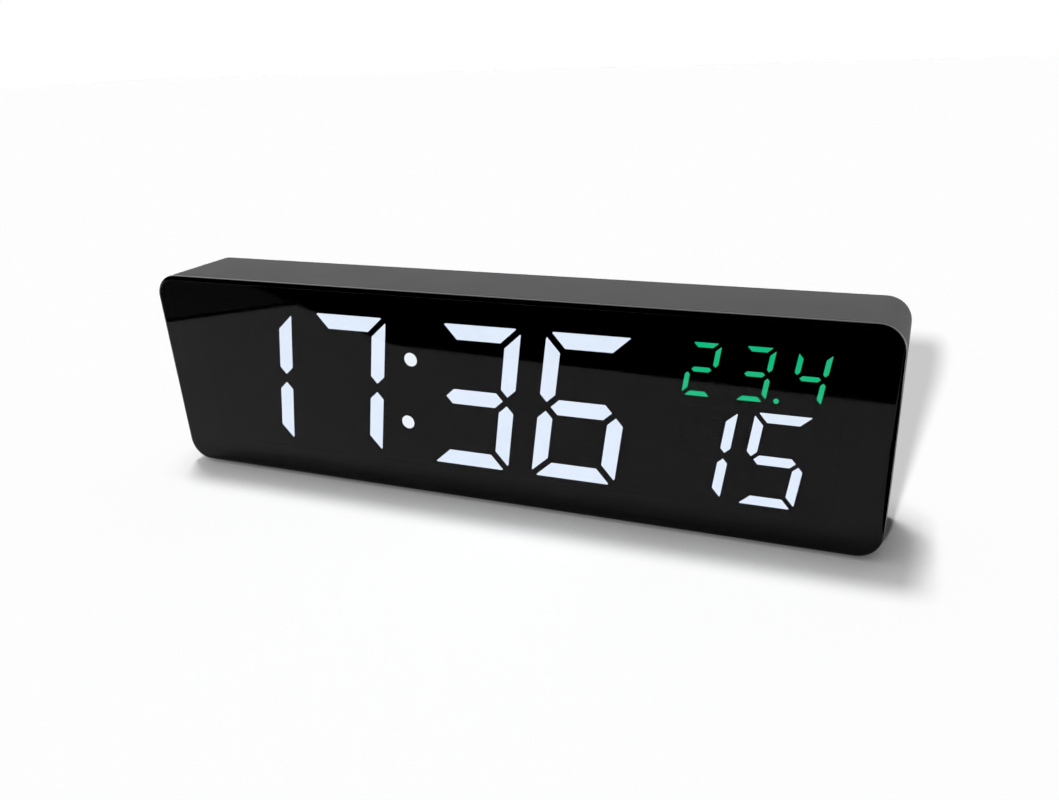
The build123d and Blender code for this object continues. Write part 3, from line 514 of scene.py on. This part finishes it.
def metal(name, colour, roughness, lines=900.0, bump=0.01 * MILLIMETRE):
    """Drawn or plated metal."""
    values = {"Colour": opaque(colour), "Lines": lines, "Contrast": 0.22, "Roughness": roughness,
              "Unevenness": 0.16}
    return textured(name, brushed_group(), values, bump, {"Metallic": 1.0})


def lit(name, colour, strength, unevenness=0.12):
    """Translucent resin with light behind it."""
    material, tree, shader = new_material(
        name, {"Base Color": opaque(RESIN), "Roughness": 0.35, "Emission Strength": strength})
    surface = add_node(tree, "ShaderNodeGroup", {"node_tree": light_group()},
                       {"Colour": opaque(colour), "Unevenness": unevenness})
    tree.links.new(surface.outputs["Colour"], shader.inputs["Emission Color"])
    return material


def smoked_lens(name, tint):
    """Clear dark acrylic, darkened round its rim, with the faintest swirl in its polish."""
    material, tree, shader = new_material(
        name, {"Transmission Weight": 1.0, "IOR": 1.245, "Metallic": 0.0})
    rim = border_mask(tree, "front_lens", LENS_RIM)
    colour = colour_mix(tree, rim, tint, scaled(tint, LENS_RIM_SHARE))
    values = {"Grain": 300.0, "Mottle": 0.04, "Roughness": 0.035, "Unevenness": 0.01}
    add_surface(tree, shader, grain_group(), values, colour)
    return material


def two_tone(name, colour, masked_colour, mask_maker, roughness, specular=0.4, bump=0.03 * MILLIMETRE):
    """Moulded plastic with a second colour, and its grain, where a mask is 1."""
    material, tree, shader = new_material(name, {"Specular IOR Level": specular})
    mask = mask_maker(tree)
    values = {"Grain": 2500.0, "Mottle": 0.14, "Roughness": roughness, "Unevenness": 0.12}
    surface = add_surface(tree, shader, grain_group(), values,
                          colour_mix(tree, mask, colour, masked_colour))
    add_relief(tree, shader, math_node(tree, "MULTIPLY", surface.outputs["Height"], mask), bump)
    return material


def circuit_board(name, colour):
    """Lacquered board: copper tracks show as lighter lines under the lacquer."""
    material, tree, shader = new_material(name, {"Coat Weight": 0.25})
    place = add_node(tree, "ShaderNodeTexCoord")
    turn = add_node(tree, "ShaderNodeMapping", inputs={"Rotation": (QUARTER_TURN, 0.0, 0.0)})
    tracks = add_node(tree, "ShaderNodeTexBrick", {"offset": 0.37, "squash": 1.0},
                      {"Scale": 90.0, "Mortar Size": 0.04, "Mortar Smooth": 0.1,
                       "Color1": opaque(colour), "Color2": opaque(scaled(colour, BOARD_SHADE)),
                       "Mortar": opaque(scaled(colour, TRACK_SHADE))})
    tree.links.new(place.outputs["Object"], turn.inputs["Vector"])
    tree.links.new(turn.outputs["Vector"], tracks.inputs["Vector"])
    values = {"Grain": 900.0, "Mottle": 0.1, "Roughness": 0.35, "Unevenness": 0.12}
    add_surface(tree, shader, grain_group(), values, tracks.outputs["Color"])
    return material


def dress(names, material):
    """Put one material on the slots of some CAD nodes."""
    for name in names:
        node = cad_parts[name]
        if not node.material_slots:
            raise RuntimeError(f"{name} has no material slot")
        for slot in node.material_slots:
            slot.material = material


# Modelling helpers

def leave_edit():
    """Return to object mode."""
    bpy.ops.object.mode_set(mode="OBJECT")


def edit_all():
    """Enter edit mode with the whole active piece selected."""
    bpy.ops.object.mode_set(mode="EDIT")
    bpy.ops.mesh.select_all(action="SELECT")


def apply_place():
    """Move the active piece's place, turn and scale into its mesh."""
    bpy.ops.object.transform_apply(location=True, rotation=True, scale=True)


def start_piece():
    """Leave edit mode and deselect everything, before something is added, fused or joined."""
    if bpy.context.mode != "OBJECT":
        leave_edit()
    bpy.ops.object.select_all(action="DESELECT")


def settle_piece(name, material, body):
    """Finish the active piece: place in its mesh, own name, material, slot and body."""
    piece = bpy.context.object
    apply_place()
    edit_all()
    bpy.ops.mesh.normals_make_consistent(inside=False)
    leave_edit()
    bpy.ops.object.shade_smooth_by_angle(angle=SMOOTH_ANGLE)
    piece.name = name
    piece.data.name = name
    piece.data.materials.clear()
    piece.data.materials.append(material)
    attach(piece, body)


def raised_mark(corners, radius, spot, detail, turn=0.0):
    """A mark with a bevelled rim on a face that looks to the back, left active."""
    start_piece()
    bpy.ops.mesh.primitive_circle_add(
        vertices=corners, radius=radius, fill_type="NGON",
        location=(spot.x, spot.y - MARK_SINK, spot.z), rotation=(QUARTER_TURN, turn, 0.0))
    piece = bpy.context.object
    apply_place()
    edit_all()
    height = detail.mark_height + MARK_SINK
    bpy.ops.mesh.extrude_region_move(TRANSFORM_OT_translate={"value": (0.0, height, 0.0)})
    bpy.ops.mesh.select_all(action="DESELECT")
    leave_edit()
    top = max(vertex.co.y for vertex in piece.data.vertices)
    slack = detail.mark_edge * LEVEL_SHARE
    for line in piece.data.edges:
        line.select = all(abs(piece.data.vertices[i].co.y - top) < slack for i in line.vertices)
    bpy.ops.object.mode_set(mode="EDIT")
    bpy.ops.mesh.bevel(offset=detail.mark_edge, segments=RIM_STEPS, affect="EDGES")
    leave_edit()


def box_piece(low, high, edge):
    """A bar between two corners with all its edges bevelled, left active."""
    start_piece()
    middle = [(a + b) / 2 for a, b in zip(low, high)]
    bpy.ops.mesh.primitive_cube_add(size=1.0, location=middle)
    bpy.context.object.scale = [b - a for a, b in zip(low, high)]
    apply_place()
    edit_all()
    bpy.ops.mesh.bevel(offset=edge, segments=RIM_STEPS, affect="EDGES")
    leave_edit()
    return bpy.context.object


def fuse_pieces(first, second):
    """Fuse two crossing bars into one closed piece, left active."""
    start_piece()
    first.select_set(True)
    bpy.context.view_layer.objects.active = first
    bpy.ops.object.modifier_add(type="BOOLEAN")
    fusion = first.modifiers[-1]
    fusion.operation = "UNION"
    fusion.object = second
    bpy.ops.object.modifier_apply(modifier=fusion.name)
    bpy.data.objects.remove(second)


def join_pieces(pieces):
    """Join several pieces into one, left active."""
    start_piece()
    for piece in pieces:
        piece.select_set(True)
    bpy.context.view_layer.objects.active = pieces[0]
    bpy.ops.object.join()


class CLOCK_OT_case(Operator):
    """Dress the sleeve, the rear cover, the battery door and the feet"""

    bl_idname = "clock.dress_case"
    bl_label = "Dress Case"

    def execute(self, context):
        finish = context.scene.clock_finishes
        dress(["housing"], two_tone("case_grain", BLACKED, finish.case, outer_skin,
                                    roughness=0.52, specular=0.13))
        dress(["rear_cover"], moulded("cover_grain", finish.cover, roughness=0.58, grain=1000.0,
                                      mottle=0.4, bump=0.12 * MILLIMETRE))
        dress(["battery_door"], moulded("door_grain", finish.door, roughness=0.55, grain=1000.0,
                                        mottle=0.35, bump=0.1 * MILLIMETRE))
        dress(["feet"], moulded("foot_rubber", finish.rubber, roughness=0.8, grain=900.0, mottle=0.25,
                                bump=0.06 * MILLIMETRE, specular=0.25))
        return {"FINISHED"}


class CLOCK_OT_face(Operator):
    """Dress the smoked front lens and the tape behind it"""

    bl_idname = "clock.dress_face"
    bl_label = "Dress Face"

    def execute(self, context):
        finish = context.scene.clock_finishes
        dress(["front_lens"], smoked_lens("smoked_acrylic", finish.lens))
        dress(["lens_tape"], moulded("tape_foam", BLACKED, roughness=0.9, grain=1200.0, mottle=0.3,
                                     bump=0.08 * MILLIMETRE, specular=0.0))
        return {"FINISHED"}


class CLOCK_OT_display(Operator):
    """Dress the reflector, its lit and unlit segments and the light chips"""

    bl_idname = "clock.dress_display"
    bl_label = "Dress Display"

    def execute(self, context):
        finish = context.scene.clock_finishes
        dress(["display_reflector"], two_tone("reflector_resin", BLACKED, finish.reflector, funnel_walls,
                                              roughness=0.8, specular=0.0))
        dress(["time_segments"], lit("time_light", finish.digits, finish.glow))
        dress(["date_segments"], lit("date_light", finish.digits, finish.glow))
        dress(["colon_dots"], lit("colon_light", finish.dots, finish.glow, unevenness=0.05))
        dress(["temperature_segments"], lit("temperature_light", finish.temperature, finish.glow))
        dress(["unlit_segments"],
              moulded("unlit_resin", BLACKED, roughness=0.5, grain=600.0, specular=0.0))
        dress(["white_leds", "green_leds"],
              moulded("chip_resin", finish.light_chip, roughness=0.4, grain=2000.0))
        return {"FINISHED"}


class CLOCK_OT_electronics(Operator):
    """Dress the circuit board and what stands on its back"""

    bl_idname = "clock.dress_electronics"
    bl_label = "Dress Electronics"

    def execute(self, context):
        finish = context.scene.clock_finishes
        dress(["main_board"], circuit_board("board_lacquer", finish.board))
        dress(["microcontroller", "driver_chips"],
              moulded("chip_package", finish.package, roughness=0.6, grain=3000.0))
        dress(["buzzer"], moulded("buzzer_can", finish.buzzer, roughness=0.5))
        dress(["temperature_sensor"], moulded("sensor_resin", finish.sensor, roughness=0.3, grain=900.0))
        dress(["switch_bases"], moulded("switch_body", finish.switch, roughness=0.55))
        dress([f"plunger_{key}" for key in KEYS],
              moulded("plunger_resin", finish.plunger, roughness=0.45))
        dress(["crystal"], metal("crystal_can", finish.crystal, roughness=0.3))
        dress(["capacitors"], two_tone("capacitor_sleeve", finish.sleeve, finish.sleeve_end,
                                       capacitor_top, roughness=0.35))
        return {"FINISHED"}


class CLOCK_OT_hardware(Operator):
    """Dress the screws, the coin cell, its contacts and the power socket"""

    bl_idname = "clock.dress_hardware"
    bl_label = "Dress Hardware"

    def execute(self, context):
        finish = context.scene.clock_finishes
        dress(["board_screws", "cover_screws"], metal("blackened_steel", finish.steel, roughness=0.4))
        dress(["coin_cell"], metal("cell_can", finish.cell, roughness=0.3, lines=1500.0))
        dress(["cell_contact_minus", "cell_contact_plus"],
              metal("contact_strip", finish.strip, roughness=0.25))
        dress(["power_socket"], metal("socket_shell", finish.shell, roughness=0.26, lines=2500.0))
        dress(["power_tongue"], moulded("tongue_resin", finish.tongue, roughness=0.5))
        return {"FINISHED"}


class CLOCK_OT_keys(Operator):
    """Dress the keys and model the raised mark on each"""

    bl_idname = "clock.make_keys"
    bl_label = "Make Keys"

    def execute(self, context):
        finish = context.scene.clock_finishes
        detail = context.scene.clock_details
        dress([f"key_{key}" for key in KEYS],
              moulded("key_satin", finish.key, roughness=0.45, grain=3500.0, bump=0.02 * MILLIMETRE))
        paint = mark_paint("mark_paint", finish.mark)
        for key in KEYS:
            low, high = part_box(f"key_{key}")
            spot = (low + high) / 2
            spot.y = high.y - KEY_DISH
            raised_mark(MARK_CORNERS[key], detail.mark_radius, spot, detail,
                        math.radians(MARK_TURNS[key]))
            settle_piece(f"key_mark_{key}", paint, f"{key}_key")
        return {"FINISHED"}


class CLOCK_OT_door_marks(Operator):
    """Model the plus sign on the battery door and the two locking dots beside it"""

    bl_idname = "clock.make_door_marks"
    bl_label = "Make Door Marks"

    def execute(self, context):
        finish = context.scene.clock_finishes
        detail = context.scene.clock_details
        paint = mark_paint("door_mark_paint", finish.mark)
        low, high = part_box("battery_door")
        middle = (low + high) / 2
        face = high.y
        reach = (high.x - low.x) / 2
        sign = Vector((middle.x, face, middle.z + SIGN_PLACE * reach))
        bars = []
        for wide, tall in ((detail.plus_size, detail.plus_bar), (detail.plus_bar, detail.plus_size)):
            lower = (sign.x - wide / 2, face - MARK_SINK, sign.z - tall / 2)
            upper = (sign.x + wide / 2, face + detail.mark_height, sign.z + tall / 2)
            bars.append(box_piece(lower, upper, detail.mark_edge))
        fuse_pieces(*bars)
        settle_piece("door_plus", paint, "battery_lid")
        ring = DOT_PLACE * reach
        dots = []
        for angle in DOT_ANGLES:
            turn = math.radians(angle)
            spot = Vector((middle.x + ring * math.cos(turn), face, middle.z + ring * math.sin(turn)))
            raised_mark(DOT_CORNERS, detail.dot_radius, spot, detail)
            dots.append(bpy.context.object)
        join_pieces(dots)
        settle_piece("locking_dots", paint, "case")
        return {"FINISHED"}


class CLOCK_OT_contacts(Operator):
    """Model the gilded contact pads on both sides of the socket's tongue"""

    bl_idname = "clock.make_contacts"
    bl_label = "Make Contacts"

    def execute(self, context):
        finish = context.scene.clock_finishes
        detail = context.scene.clock_details
        gilt = metal("gilded_pads", finish.gilt, roughness=0.24, lines=2500.0)
        low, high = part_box("power_tongue")
        middle = (low + high) / 2
        half_width = detail.pad_width / 2
        pads = []
        for side in (-1, 1):
            face = middle.z + side * TONGUE_HALF
            under, over = sorted((face - side * PAD_SINK, face + side * detail.pad_height))
            for place in range(PADS_PER_SIDE):
                across = middle.x + (place - PADS_PER_SIDE // 2) * PAD_PITCH * detail.pad_width
                pads.append(box_piece(
                    (across - half_width, high.y - detail.pad_end, under),
                    (across + half_width, high.y - detail.pad_start, over),
                    detail.pad_height * PAD_EDGE))
        join_pieces(pads)
        settle_piece("tongue_pads", gilt, "case")
        return {"FINISHED"}


def light_mask(tree):
    """1 for rays that see the background: from the camera, a mirror or through glass."""
    path = add_node(tree, "ShaderNodeLightPath")
    seen = math_node(tree, "MAXIMUM", path.outputs["Is Camera Ray"], path.outputs["Is Glossy Ray"])
    return math_node(tree, "MAXIMUM", seen, path.outputs["Is Transmission Ray"])


class CLOCK_OT_stage(Operator):
    """Set the floor, the world, the lights, the dark cards and the camera"""

    bl_idname = "clock.set_stage"
    bl_label = "Set Stage"

    def execute(self, context):
        stage = context.scene.clock_stage
        context.scene.view_settings.view_transform = "Standard"
        self.make_floor(stage)
        for plan in CARDS:
            self.make_card(plan)
        self.make_world(context.scene, stage)
        for name in ("key_light", "top_light"):
            self.make_lamp(stage, name)
        self.make_camera(context.scene, stage)
        return {"FINISHED"}

    def make_floor(self, stage):
        """A pale floor that reads as white and keeps the clock's shadow, with a painted shadow in its
        colour that is deepest at the clock's foot.
        """
        start_piece()
        bpy.ops.mesh.primitive_plane_add(size=stage.floor_size)
        floor = bpy.context.object
        floor.name = "floor"
        material, tree, shader = new_material("studio_floor", {**MATT, "Emission Color": opaque(WHITE)})
        # Painted shadow: an ambient occlusion node darkens the floor's colour near the clock, more to its
        # right and front as its normal leans
        contact = add_node(tree, "ShaderNodeAmbientOcclusion", {"samples": 4},
                           {"Color": opaque(stage.floor_colour), "Distance": stage.painted_shadow_reach})
        lean = add_node(tree, "ShaderNodeCombineXYZ", inputs=dict(zip("XYZ", stage.painted_shadow_lean)))
        tree.links.new(lean.outputs["Vector"], contact.inputs["Normal"])
        tree.links.new(contact.outputs["Color"], shader.inputs["Base Color"])
        lift = math_node(tree, "MULTIPLY", light_mask(tree), stage.floor_lift)
        tree.links.new(lift, shader.inputs["Emission Strength"])
        floor.data.materials.append(material)

    def make_card(self, plan):
        """A dark card, which only glossy and transmitted rays see: a painted dark reflection in the lens
        and other glossy surfaces.
        """
        start = Vector((*plan.start, plan.height))
        end = Vector((*plan.end, plan.height))
        along = end - start
        away = Vector((-along.y, along.x, 0.0)).normalized()
        tilt = 0.0
        if plan.upright:
            away = Vector((0.0, 0.0, 1.0))
            tilt = QUARTER_TURN
        start_piece()
        bpy.ops.mesh.primitive_plane_add(size=1.0, location=(start + end + away * plan.depth) / 2,
                                         rotation=(tilt, 0.0, math.atan2(along.y, along.x)))
        card = bpy.context.object
        card.scale = (along.length, plan.depth, 1.0)
        card.name = plan.name
        material, _, _ = new_material(
            f"{plan.name}_cloth", {**MATT, "Base Color": opaque(scaled(WHITE, plan.shade))})
        card.data.materials.append(material)
        for ray in ("camera", "diffuse", "volume_scatter", "shadow"):
            setattr(card, f"visible_{ray}", False)

    def make_world(self, scene, stage):
        """Soft light from all round, which reads as white where it is seen."""
        world = bpy.data.worlds.new("studio")
        world.use_nodes = True
        tree = world.node_tree
        sky = tree.nodes["Background"]
        sky.inputs["Color"].default_value = opaque(WHITE)
        seen = math_node(tree, "MULTIPLY", light_mask(tree), 1.0 - stage.sky)
        tree.links.new(math_node(tree, "ADD", seen, stage.sky), sky.inputs["Strength"])
        scene.world = world

    def make_lamp(self, stage, name):
        """A sun with soft shadows, which the glossy face doesn't mirror."""
        start_piece()
        bpy.ops.object.light_add(type="SUN")
        lamp = bpy.context.object
        lamp.name = name
        lamp.data.energy = getattr(stage, name)
        lamp.data.angle = getattr(stage, f"{name}_spread")
        aim = Vector(getattr(stage, f"{name}_aim"))
        lamp.rotation_euler = aim.to_track_quat("-Z", "Y").to_euler()
        lamp.visible_glossy = False
        lamp.visible_transmission = False

    def make_camera(self, scene, stage):
        """The camera at the photograph's viewing angle."""
        start_piece()
        place = Vector(stage.camera_place)
        aim = (Vector(stage.camera_aim) - place).to_track_quat("-Z", "Y").to_matrix()
        turn = aim @ Matrix.Rotation(stage.camera_roll, 3, "Z")
        bpy.ops.object.camera_add(location=place, rotation=turn.to_euler())
        camera = bpy.context.object
        camera.name = "camera"
        camera.data.sensor_width = SENSOR_WIDTH
        camera.data.lens = stage.focal_length
        camera.data.shift_x = stage.shift_x
        camera.data.shift_y = stage.shift_y
        camera.data.clip_start = CLIP_START
        scene.camera = camera


class CLOCK_PT_panel(Panel):
    """Lists the clock's operators and values"""

    bl_label = "Desk Clock"
    bl_idname = "CLOCK_PT_panel"
    bl_space_type = "VIEW_3D"
    bl_region_type = "UI"
    bl_category = "Desk Clock"

    def draw(self, context):
        for step in STEPS:
            self.layout.operator(step.bl_idname)
        for name, group in GROUPS.items():
            column = self.layout.column()
            for value in group.__annotations__:
                column.prop(getattr(context.scene, name), value)


GROUPS = {"clock_finishes": ClockFinishes, "clock_details": ClockDetails, "clock_stage": ClockStage}
STEPS = (CLOCK_OT_case, CLOCK_OT_face, CLOCK_OT_display, CLOCK_OT_electronics, CLOCK_OT_hardware,
         CLOCK_OT_keys, CLOCK_OT_door_marks, CLOCK_OT_contacts, CLOCK_OT_stage)
CLASSES = (*GROUPS.values(), *STEPS, CLOCK_PT_panel)


def register():
    """Register the classes and hang their values on the scene."""
    for entry in CLASSES:
        bpy.utils.register_class(entry)
    for name, group in GROUPS.items():
        setattr(bpy.types.Scene, name, PointerProperty(type=group))


def unregister():
    """Take the values off the scene and unregister the classes."""
    for name in GROUPS:
        delattr(bpy.types.Scene, name)
    for entry in reversed(CLASSES):
        bpy.utils.unregister_class(entry)


def main():
    """Build the dressed clock in order."""
    register()
    bpy.ops.clock.dress_case()
    bpy.ops.clock.dress_face()
    bpy.ops.clock.dress_display()
    bpy.ops.clock.dress_electronics()
    bpy.ops.clock.dress_hardware()
    bpy.ops.clock.make_keys()
    bpy.ops.clock.make_door_marks()
    bpy.ops.clock.make_contacts()
    bpy.ops.clock.set_stage()


if __name__ == "__main__":
    main()
